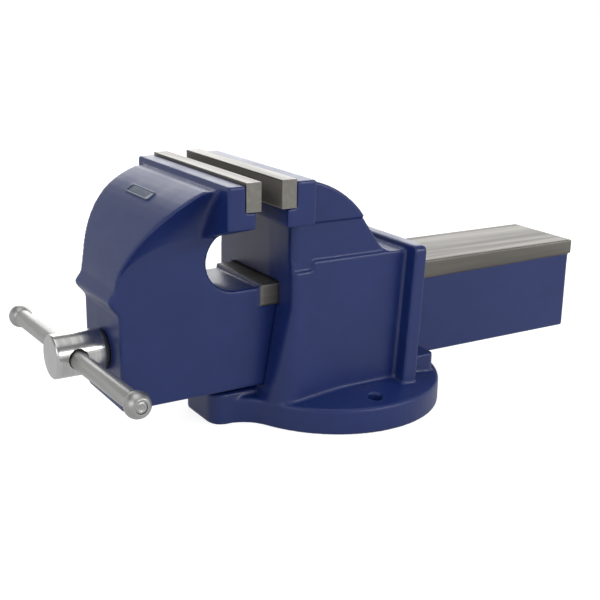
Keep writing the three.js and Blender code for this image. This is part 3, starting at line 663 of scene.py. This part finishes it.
# The neck's front, painted paler: partly thin paint over primer, partly a painted reflection of the
# floor
throat_face = zone(
    (-60 * MM, 18 * MM),
    (fixed_grip, throat_wall - 3 * MM),
    (SLIDE_TOP - 2 * MM, moving_plate_low.z - 6 * MM),
)
moving_enamel = enamel("moving_enamel", milled=slide_zones(), unpainted=[channel_zone()])
fixed_enamel = enamel(
    "fixed_enamel", milled=[underside], unpainted=tunnel_zones(), primer_and_reflection_zones=[throat_face]
)
pad_enamel = enamel("pad_enamel", BLUE_GREY)
ground_steel = steel(
    "ground_steel",
    light=colour(0.285, 0.275, 0.25),
    dark=colour(0.225, 0.215, 0.195),
    line=(30, 2600, 2600),
    streak=(8, 260, 260),
    rough=0.42,
    depth=0.012 * MM,
    oil_and_shade_zones=tooth_zones(),
)
ball_steel = steel(
    "ball_steel",
    light=colour(0.48, 0.48, 0.475),
    dark=colour(0.38, 0.38, 0.375),
    line=(300, 300, 300),
    streak=(60, 60, 60),
    rough=0.40,
    depth=0.012 * MM,
    cast=0.3,
)
turned_steel = steel(
    "turned_steel",
    light=colour(0.66, 0.66, 0.65),
    dark=colour(0.50, 0.50, 0.495),
    line=(60, 3000, 60),
    streak=(20, 300, 20),
    rough=0.20,
    depth=0.01 * MM,
)
bar_steel = steel(
    "bar_steel",
    light=colour(0.52, 0.52, 0.51),
    dark=colour(0.40, 0.40, 0.39),
    line=(40, 2200, 2200),
    streak=(10, 240, 240),
    rough=0.42,
    depth=0.012 * MM,
)
black_steel = steel(
    "black_steel",
    light=colour(0.13, 0.125, 0.12),
    dark=colour(0.07, 0.068, 0.066),
    line=(800, 800, 800),
    streak=(120, 120, 120),
    rough=0.42,
    depth=0.02 * MM,
    cast=0.3,
)
spring_steel = steel(
    "spring_steel",
    light=colour(0.42, 0.42, 0.43),
    dark=colour(0.30, 0.30, 0.31),
    line=(900, 900, 900),
    streak=(160, 160, 160),
    rough=0.33,
    depth=0.01 * MM,
)
raw_iron = steel(
    "raw_iron",
    light=colour(0.24, 0.235, 0.23),
    dark=colour(0.14, 0.138, 0.135),
    line=(700, 700, 700),
    streak=(90, 90, 90),
    rough=0.55,
    depth=0.08 * MM,
    cast=1.0,
)


# ---- castings in place -----------------------------------------------------------------------

across = (-100 * MM, 100 * MM)
rail_edges = zone(across, (rail_front - 2 * MM, 300 * MM), (CHANNEL_ROOF - 1 * MM, 120 * MM))
moving_plate_seat = zone(
    across, (moving_grip - 14 * MM, 0), (moving_plate_low.z - 3 * MM, 200 * MM)
)
fixed_plate_seat = zone(
    across,
    (fixed_plate_low.y, fixed_plate_high.y + 2 * MM),
    (fixed_plate_low.z - 3 * MM, 200 * MM),
)
base_edge = zone((-200 * MM, 200 * MM), (-200 * MM, 200 * MM), (-1 * MM, 1.2 * MM))
fixed_form = casting("fixed_body", crisp_zones=[fixed_plate_seat, base_edge])
moving_form = casting("moving_jaw", crisp_zones=[rail_edges, moving_plate_seat])
nut_form = casting("main_nut", facet=0.8 * MM, rounding=0.7 * MM)
piece("fixed_casting", fixed_form, fixed_enamel, "body", ["fixed_body"])
piece("moving_casting", moving_form, moving_enamel, "moving_jaw", ["moving_jaw"])
piece("nut_casting", nut_form, raw_iron, "body", ["main_nut"])


# ---- jaw plates ------------------------------------------------------------------------------


def jaw_plate(name, cad_node, way):
    """A jaw plate with small pyramids cut into its grip face, which looks along -way."""
    low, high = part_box(cad_node)
    wide, tall = high.x - low.x, high.z - low.z
    grip, back = (low.y, high.y) if way > 0 else (high.y, low.y)
    columns, rows = (round((side - 2 * RIM) / (TOOTH_PITCH / 2)) for side in (wide, tall))
    face, crests = grip + way * 0.02 * MM, grip + way * 0.05 * MM
    work = bmesh.new()

    def point(i, j, inset, y):
        x = low.x + inset + (wide - 2 * inset) * i / columns
        z = low.z + inset + (tall - 2 * inset) * j / rows
        return work.verts.new((x, y, z))

    def toothed(i, j):
        return point(i, j, RIM, crests + (0 if (i + j) % 2 else way * TOOTH_DEPTH))

    grid = [[toothed(i, j) for i in range(columns + 1)] for j in range(rows + 1)]
    for j in range(rows):
        for i in range(columns):
            a, b, c, d = grid[j][i], grid[j][i + 1], grid[j + 1][i + 1], grid[j + 1][i]
            for corners in ((a, b, d), (b, c, d)) if (i + j) % 2 else ((a, b, c), (a, c, d)):
                work.faces.new(corners)
    edge = [(i, 0) for i in range(columns + 1)]
    edge += [(columns, j) for j in range(1, rows + 1)]
    edge += [(i, rows) for i in reversed(range(columns))]
    edge += [(0, j) for j in reversed(range(1, rows))]
    steps = [
        (PLATE_CHAMFER, face),
        (0, grip + way * PLATE_CHAMFER),
        (0, back - way * PLATE_CHAMFER),
        (PLATE_CHAMFER, back),
    ]
    rings = [[grid[j][i] for i, j in edge]]
    rings += [[point(i, j, inset, y) for i, j in edge] for inset, y in steps]
    for inner, outer in zip(rings, rings[1:], strict=False):
        for i in range(len(edge)):
            k = (i + 1) % len(edge)
            work.faces.new((inner[i], inner[k], outer[k], outer[i]))
    work.faces.new(rings[-1])
    bmesh.ops.recalc_face_normals(work, faces=work.faces)
    blank = bpy.data.meshes.new(name)
    work.to_mesh(blank)
    work.free()
    screws = (-plate_screw_place.x, plate_screw_place.x)
    mesh = cut_by(blank, *[screw_seat(x, grip, way) for x in screws])
    shade(mesh, 18)
    return mesh


def screw_seat(x, grip, way):
    """The countersunk hole for a plate screw."""
    head, stem = plate_screw_head + PLATE_SCREW_FIT, PLATE_SCREW_STEM + PLATE_SCREW_FIT
    front, through = -1 * MM, 14 * MM
    profile = [
        (0, front),
        (head, front),
        (head, PLATE_SCREW_EDGE),
        (stem, PLATE_SCREW_EDGE + head - stem),
        (stem, through),
        (0, through),
    ]
    tool = turned("seat", [(r, way * y) for r, y in profile], 48, 0.05 * MM)
    tool.transform(Matrix.Translation((x, grip, plate_screw_place.z)))
    return tool


for name, cad_node, way, body in (
    ("fixed_grip_plate", "fixed_jaw_plate", 1, "body"),
    ("moving_grip_plate", "moving_jaw_plate", -1, "moving_jaw"),
):
    mesh = jaw_plate(name, cad_node, way)
    piece(name, mesh, ground_steel, body, [cad_node])


# ---- screw, handle bar and knobs -------------------------------------------------------------


def screw_blank():
    """The turned screw with its head, shank and threaded core, pierced for the bar."""
    front, end = screw_low.y, screw_high.y
    bevel, tip = 1.2 * MM, 1.5 * MM
    profile = [
        (0, front),
        (screw_head_radius - bevel, front),
        (screw_head_radius, front + bevel),
        (screw_head_radius, screw_head_back),
        (SHANK_RADIUS, screw_head_back),
        (SHANK_RADIUS, thread_start - 3 * MM),
        (THREAD_ROOT, thread_start),
        (THREAD_ROOT, end - tip),
        (THREAD_ROOT - tip, end),
        (0, end),
    ]
    blank = turned("main_screw_turned", profile, 128, 0.5 * MM)
    blank.transform(Matrix.Translation(on_axis))
    half = 20 * MM
    profile = [(0, -half), (BAR_HOLE_RADIUS, -half), (BAR_HOLE_RADIUS, half), (0, half)]
    hole = turned("bar_hole", profile)
    hole.transform(Matrix.Translation((bar_place.x, bar_place.y, on_axis.z)) @ along_bar)
    mesh = cut_by(blank, hole)
    shade(mesh, 28)
    return mesh


def thread_ridge():
    """The thread's ridge, wound round its core and run out over half a turn at both ends."""
    steps = 40
    first_turn, last_turn = 0.3, 0.3
    length = screw_high.y - 1 * MM - thread_start
    count = int((length / THREAD_PITCH - first_turn - last_turn) * steps)
    root = THREAD_ROOT - 0.3 * MM
    section = [(root, -0.36), (THREAD_CREST, -0.2), (THREAD_CREST, 0.2), (root, 0.36)]
    rows = []
    for i in range(count + 1):
        angle = tau * i / steps
        fade = min(1.0, i / (steps / 2), (count - i) / (steps / 2))
        row = []
        for radius, share in section:
            r = root + (radius - root) * fade
            y = thread_start + THREAD_PITCH * (first_turn + i / steps + share)
            row.append((r * cos(angle), y, r * sin(angle)))
        rows.append(row)
    mesh = tube("thread", rows, 40)
    mesh.transform(Matrix.Translation(on_axis))
    return mesh


def main_screw():
    """The screw and its thread as one mesh."""
    work = bmesh.new()
    for mesh in (screw_blank(), thread_ridge()):
        work.from_mesh(mesh)
    made = bpy.data.meshes.new("main_screw_turned")
    work.to_mesh(made)
    work.free()
    return made


def laid_along_bar(mesh):
    """Turns a mesh made along Y to the bar's line through the screw's head."""
    mesh.transform(Matrix.Translation(bar_place) @ along_bar)
    return mesh


def handle_bar():
    """The bar, with an end turned down for each knob and peened over with a small dimple."""
    end = KNOB_SPACING / 2 + KNOB_FLAT
    shoulder = KNOB_SPACING / 2 - KNOB_FLAT - 0.3 * MM
    profile = [
        (0, end - 0.7 * MM),
        (1.5 * MM, end - 0.6 * MM),
        (2.7 * MM, end),
        (SPIGOT_RADIUS, end - 0.5 * MM),
        (SPIGOT_RADIUS, shoulder),
        (BAR_RADIUS, shoulder),
    ]
    profile += [(r, -y) for r, y in reversed(profile)]
    return laid_along_bar(turned("handle_bar_drawn", profile, ease=0.35 * MM))


def knob(name, side):
    """A ball end with small flats, peened over the bar's spigot."""
    bore = SPIGOT_RADIUS + 0.08 * MM
    tilt = asin(KNOB_FLAT / KNOB_RADIUS)
    steps = 12
    arc = [-tilt + 2 * tilt * i / steps for i in range(steps + 1)]
    ball = [(KNOB_RADIUS * cos(a), KNOB_RADIUS * sin(a)) for a in arc]
    outline = eased([(bore, -KNOB_FLAT), *ball, (bore, KNOB_FLAT)], 1.4 * MM)
    mesh = turned_ring(name, outline, 35)
    mesh.transform(Matrix.Translation((0, side * KNOB_SPACING / 2, 0)))
    return laid_along_bar(mesh)


piece("main_screw_turned", main_screw(), turned_steel, "screw", ["main_screw"])
piece("handle_bar_drawn", handle_bar(), bar_steel, "handle", ["handle_bar"])
for side, end in ((-1, "left"), (1, "right")):
    name = "handle_ball_" + end
    mesh = knob(name, side)
    piece(name, mesh, ball_steel, "handle", ["handle_knob_" + end])


# ---- washers, collar, pin and spring ---------------------------------------------------------


def turned_washer(name, cad_node, bore, ease=0.3 * MM):
    """A washer about the screw's line, in the room of its CAD node."""
    low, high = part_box(cad_node)
    rim = (high.x - low.x) / 2
    middle = (bore + rim) / 2
    loop = [(middle, low.y), (rim, low.y), (rim, high.y), (bore, high.y), (bore, low.y)]
    mesh = turned_ring(name, eased([*loop, loop[0]], ease)[:-1], 50)
    mesh.transform(Matrix.Translation(on_axis))
    return mesh


def refine(cad_node, material, ease):
    """Keeps a CAD node, with welded corners, eased edges and a finish."""
    shown = frame["nodes"][cad_node]
    weld = shown.modifiers.new("weld", "WELD")
    weld.merge_threshold = 0.02 * MM
    flat = shown.modifiers.new("flat", "DECIMATE")
    flat.decimate_type = "DISSOLVE"
    flat.angle_limit = radians(1)
    bevel = shown.modifiers.new("eased", "BEVEL")
    bevel.width = ease
    bevel.segments = 2
    bevel.limit_method = "ANGLE"
    bevel.angle_limit = radians(32)
    bevel.harden_normals = True
    shown.data.polygons.foreach_set("use_smooth", np.ones(len(shown.data.polygons), bool))
    shown.data.materials.clear()
    shown.data.materials.append(material)


def draw_spring():
    """A round-wire spring wound about the screw's line."""
    low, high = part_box("draw_spring")
    radius = (high.x - low.x) / 2 - SPRING_WIRE
    turns, around, section = 3.5, 48, 14
    travel = high.y - low.y - 2 * SPRING_WIRE
    count = int(turns * around)
    rows = []
    for i in range(count + 1):
        t = i / count
        angle = tau * turns * t
        centre = Vector((radius * cos(angle), low.y + SPRING_WIRE + travel * t, radius * sin(angle)))
        out, along = Vector((cos(angle), 0, sin(angle))), Vector((0, 1, 0))
        bends = [tau * k / section for k in range(section)]
        rows.append([centre + SPRING_WIRE * (out * cos(b) + along * sin(b)) for b in bends])
    mesh = tube("draw_spring_wound", rows, 40)
    mesh.transform(Matrix.Translation(on_axis))
    return mesh


for cad_node in ("thrust_washer", "spring_washer"):
    name = cad_node + "_turned"
    mesh = turned_washer(name, cad_node, WASHER_BORE)
    piece(name, mesh, black_steel, "moving_jaw", [cad_node])
for side in ("left", "right"):
    refine("fixed_plate_screw_" + side, black_steel, 0.25 * MM)
    refine("moving_plate_screw_" + side, black_steel, 0.25 * MM)
for end in ("front", "rear"):
    refine("nut_bolt_" + end, black_steel, 0.4 * MM)
    refine("nut_bolt_washer_" + end, spring_steel, 0.25 * MM)
refine("retaining_collar", black_steel, 0.4 * MM)
refine("collar_pin", black_steel, 0.3 * MM)
piece("draw_spring_wound", draw_spring(), spring_steel, "moving_jaw", ["draw_spring"])


# ---- blank pad on the moving jaw -------------------------------------------------------------


def pad_outline(half_width, half_height, corner):
    """A flat outline with rounded corners and points no further apart than 1.5 mm."""
    bends = []
    for quadrant, (sx, sy) in enumerate([(1, 1), (-1, 1), (-1, -1), (1, -1)]):
        for step in range(7):
            angle = radians(90 * (quadrant + step / 6))
            x = sx * (half_width - corner) + corner * cos(angle)
            bends.append(Vector((x, sy * (half_height - corner) + corner * sin(angle))))
    points = []
    for start, end in zip(bends, [*bends[1:], bends[0]], strict=True):
        parts = max(1, ceil((end - start).length / (1.5 * MM)))
        points += [start.lerp(end, i / parts) for i in range(parts)]
    return points


def blank_pad():
    """A low blank pad with a raised border that follows the hood's curve."""
    half_width, half_height = 20 * MM, 4.4 * MM
    middle_x, middle_angle = -5 * MM, radians(56.3)
    border = [(-0.5, 0), (0.45, 0), (0.8, 0.3), (0.8, 1), (0.6, 1.4)]  # height and inset in mm
    field_height, field_shares = 0.6, (0.7, 0.45, 0.2, 0.02)
    hood = BVHTree.FromPolygons(
        [vertex.co for vertex in moving_form.vertices],
        [tuple(face.vertices) for face in moving_form.polygons],
    )

    def on_hood(u, v, height):
        angle = middle_angle + v / HOOD_RADIUS
        out = Vector((0, -cos(angle), sin(angle)))
        above = hood_centre + Vector((middle_x + u, 0, 0)) + out * (HOOD_RADIUS + 10 * MM)
        return hood.ray_cast(above, -out)[0] + out * height * MM

    levels = [(h, 1 - i * MM / half_width, 1 - i * MM / half_height) for h, i in border]
    levels += [(field_height, share, share) for share in field_shares]
    outline = pad_outline(half_width, half_height, 2.4 * MM)
    rows = [[on_hood(p.x * wide, p.y * tall, h) for p in outline] for h, wide, tall in levels]
    return tube("blank_name_pad", rows, 50)


piece("blank_name_pad", blank_pad(), pad_enamel, "moving_jaw")


# ---- floor, light and camera -----------------------------------------------------------------


def floor():
    """A wide pale floor, white to the camera and partly white to polished faces."""
    work = bmesh.new()
    bmesh.ops.create_grid(work, x_segments=2, y_segments=2, size=8)
    mesh = bpy.data.meshes.new("floor")
    work.to_mesh(mesh)
    work.free()
    made = in_scene("floor", mesh)
    made.location.z = body_low.z - 0.1 * MM
    pale = bpy.data.materials.new("pale_floor")
    pale.use_nodes = True
    tree = pale.node_tree
    tree.nodes.clear()
    path = node(tree, "LightPath").outputs
    darker, paler = colour(0.4, 0.4, 0.405), colour(0.75, 0.75, 0.76)
    shown = blended(tree, path["Is Diffuse Ray"], darker, paler)
    lit = node(tree, "BsdfDiffuse", {"Color": shown}).outputs[0]
    glow = node(tree, "Emission", {"Color": colour(1, 1, 1), "Strength": 0.86}).outputs[0]
    seen = node(tree, "AddShader", {0: lit, 1: glow}).outputs[0]
    share = maths(tree, "MULTIPLY_ADD", path["Is Glossy Ray"], 0.4, path["Is Camera Ray"])
    share = maths(tree, "ADD", share, path["Is Transmission Ray"])
    both = node(tree, "MixShader", {0: share, 1: lit, 2: seen}).outputs[0]
    tree.links.new(both, node(tree, "OutputMaterial").inputs["Surface"])
    mesh.materials.append(pale)


def sky():
    """A white studio: bright backdrop and ceiling panel, with a dim band between them."""
    world = bpy.data.worlds.new("studio")
    bpy.context.scene.world = world
    world.use_nodes = True
    tree = world.node_tree
    tree.nodes.clear()
    way = node(tree, "TexCoord").outputs["Generated"]
    rise = node(tree, "SeparateXYZ", {0: way}).outputs["Z"]
    ramp = node(tree, "ValToRGB", {"Fac": maths(tree, "MULTIPLY_ADD", rise, 0.5, 0.5)})
    # How bright the studio is, from straight down (0) through level (0.5) to straight up (1)
    levels = {0: 0.5, 0.5: 0.75, 0.66: 0.85, 0.76: 0.35, 0.92: 0.25, 0.95: 1, 1: 1}
    stops = ramp.color_ramp.elements
    for height in list(levels)[1:-1]:
        stops.new(height)
    for stop, level in zip(stops, levels.values(), strict=True):
        stop.color = colour(level, level, level)
    around = node(tree, "Background", {"Color": ramp.outputs["Color"], "Strength": 0.9}).outputs[0]
    white = node(tree, "Background", {"Color": colour(1, 1, 1), "Strength": 1.0}).outputs[0]
    path = node(tree, "LightPath").outputs
    both = node(tree, "MixShader", {0: path["Is Camera Ray"], 1: around, 2: white}).outputs[0]
    tree.links.new(both, node(tree, "OutputWorld").inputs["Surface"])


def softbox(name, place, aim, size, power):
    """A rectangular lamp of some watts, turned to a point."""
    data = bpy.data.lights.new(name, "AREA")
    data.shape = "RECTANGLE"
    data.size, data.size_y = size
    data.energy = power
    made = in_scene(name, data)
    made.location = place
    made.rotation_euler = (Vector(aim) - Vector(place)).to_track_quat("-Z", "Y").to_euler()


def camera():
    """The camera's place, turned a little off level, with the lens that gives its view."""
    azimuth, elevation, roll = radians(58.237), radians(16.580), radians(1.034)
    focus, distance = Vector((8.778, -29.715, 83.132)) * MM, 833.824 * MM
    ahead = Vector((-sin(azimuth) * cos(elevation), cos(azimuth) * cos(elevation), -sin(elevation)))
    level = Vector((cos(azimuth), sin(azimuth), 0))
    square = level.cross(ahead)
    right = level * cos(roll) + square * sin(roll)
    up = square * cos(roll) - level * sin(roll)
    data = bpy.data.cameras.new("camera")
    data.sensor_width, data.lens = 36, 63.9447
    data.shift_x, data.shift_y = -0.00165833, -0.00026167
    data.clip_start, data.clip_end = 0.01, 100
    made = in_scene("camera", data)
    turn = Matrix((right, up, -ahead)).transposed().to_4x4()
    made.matrix_world = Matrix.Translation(focus - ahead * distance) @ turn
    bpy.context.scene.camera = made


floor()
sky()
softbox("overhead_softbox", (-0.1, -0.35, 1.4), (0, 0, 0.08), (1.2, 0.8), 2)
softbox("front_softbox", (0.45, -1.5, 0.8), (0, -0.1, 0.1), (0.9, 0.9), 4)
softbox("side_strip", (1.3, 0.6, 0.85), (0, 0, 0.1), (1.6, 0.2), 10)
softbox("backdrop_softbox", (-1.45, 1.0, 0.8), (0, 0, 0.1), (2.5, 1.3), 21.5)
camera()

bpy.context.scene.view_settings.view_transform = "Standard"

bpy.context.view_layer.update()
